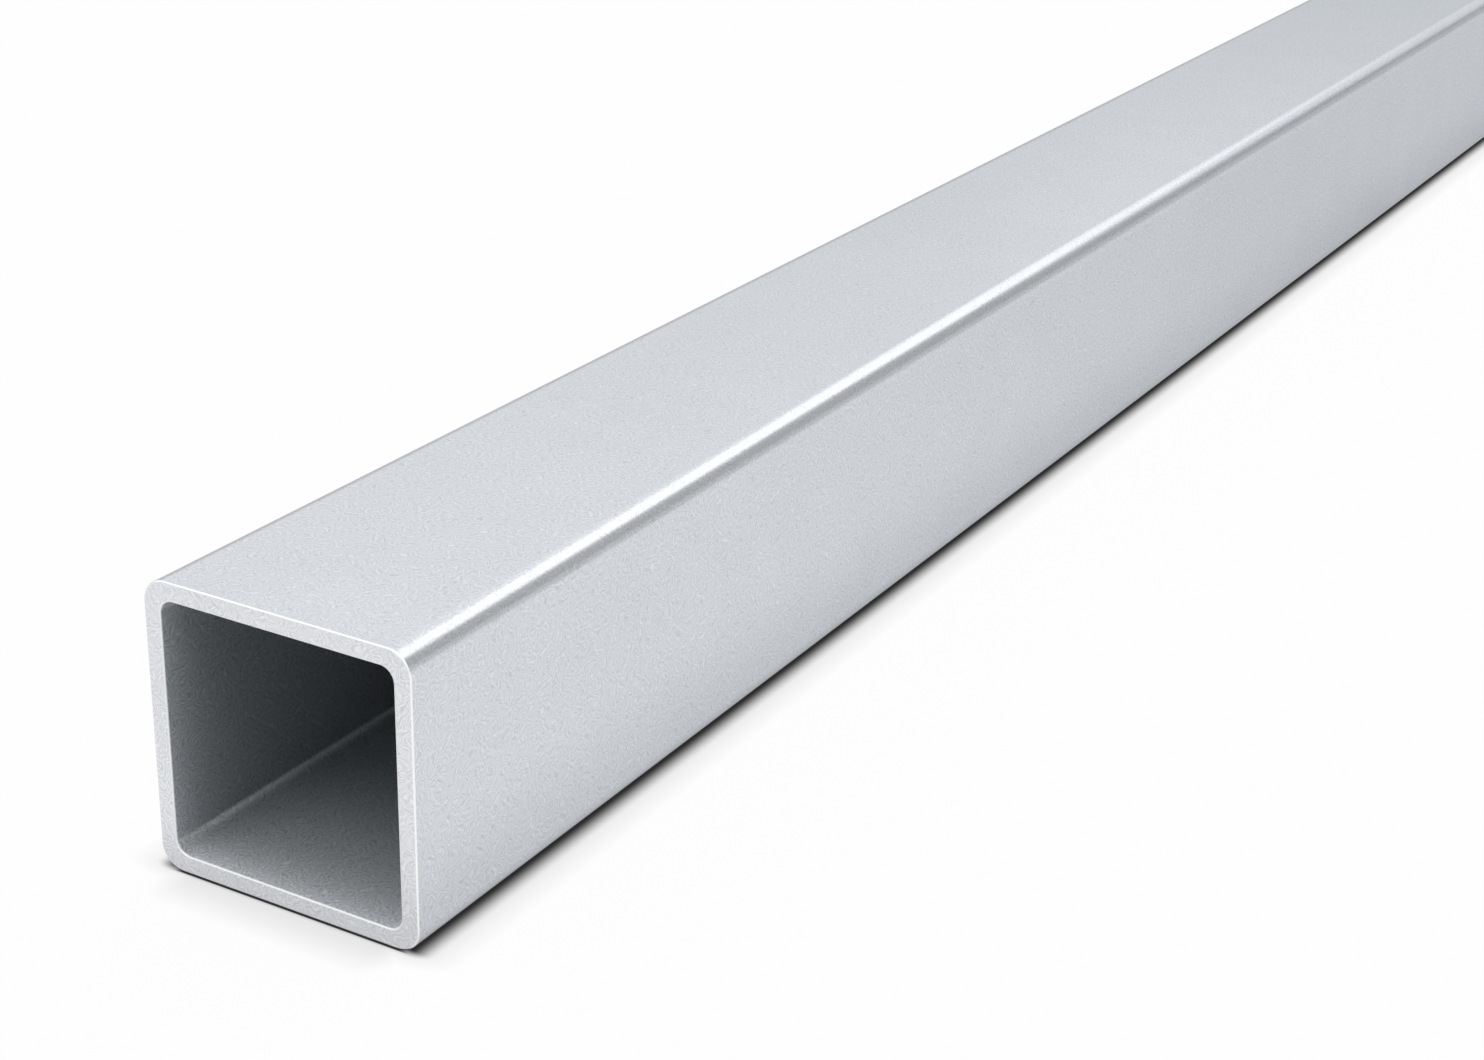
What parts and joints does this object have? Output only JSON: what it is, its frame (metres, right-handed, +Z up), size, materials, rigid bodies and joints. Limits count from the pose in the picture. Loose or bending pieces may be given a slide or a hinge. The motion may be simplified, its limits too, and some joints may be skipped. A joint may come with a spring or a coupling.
{
  "type": "square metal tube",
  "caption": "Square steel hollow section with rounded corners, satin zinc-grey faces and square sawn, deburred open ends; framing stock to cut, weld, clamp or plug.",
  "frame": {"origin": "under the middle of the tube's length, on the surface its lower wall rests on", "axes": "+X along the tube, +Y square to its side wall, +Z up through its top wall"},
  "size_m": [1, 0.05, 0.05],
  "materials": {
    "square_tube": "satin zinc-coated steel, fine mottled grain"
  },
  "bodies": {
    "root": {"square_tube": "square_tube"}
  },
  "joints": []
}
